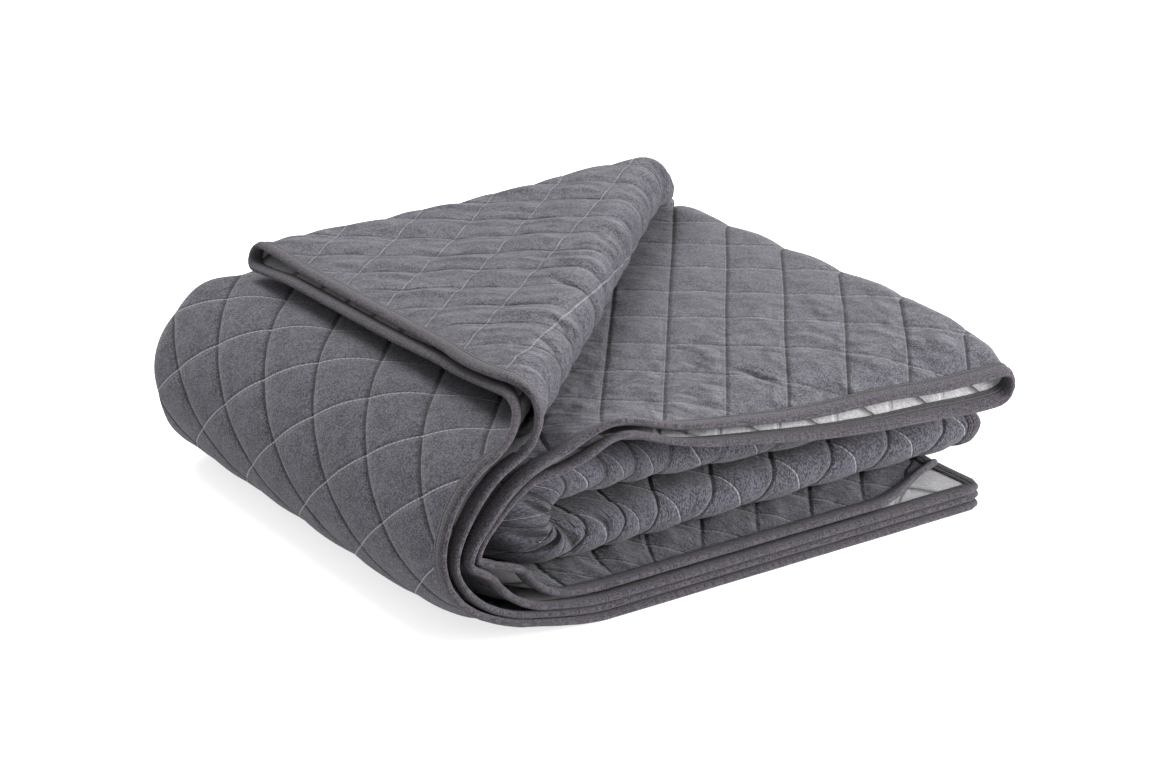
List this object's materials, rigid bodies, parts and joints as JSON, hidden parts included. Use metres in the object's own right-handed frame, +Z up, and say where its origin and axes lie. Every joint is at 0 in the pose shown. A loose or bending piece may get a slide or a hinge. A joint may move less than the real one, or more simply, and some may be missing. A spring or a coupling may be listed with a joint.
{
  "type": "bedspread",
  "caption": "Quilted bedspread folded into a flat stack, diamond-quilted dark face, light back, bound edges, the front corner of the top pair turned back.",
  "frame": {"origin": "centre of the bounding box's underside, where the folded cloth lies on the surface", "axes": "+Z up; +X along the front, from the round fold to the open side; +Y from the front to the back"},
  "size_m": [0.6002, 0.53, 0.2183],
  "materials": {
    "quilted_cloth": "matt brushed jersey, quilted with pale thread",
    "edge_binding": "matt ribbed tape"
  },
  "bodies": {
    "root": {"quilted_panel": "quilted_cloth", "binding_end_outer": "edge_binding", "binding_end_inner": "edge_binding", "binding_side_lower": "edge_binding", "binding_side_upper": "edge_binding"}
  },
  "joints": []
}
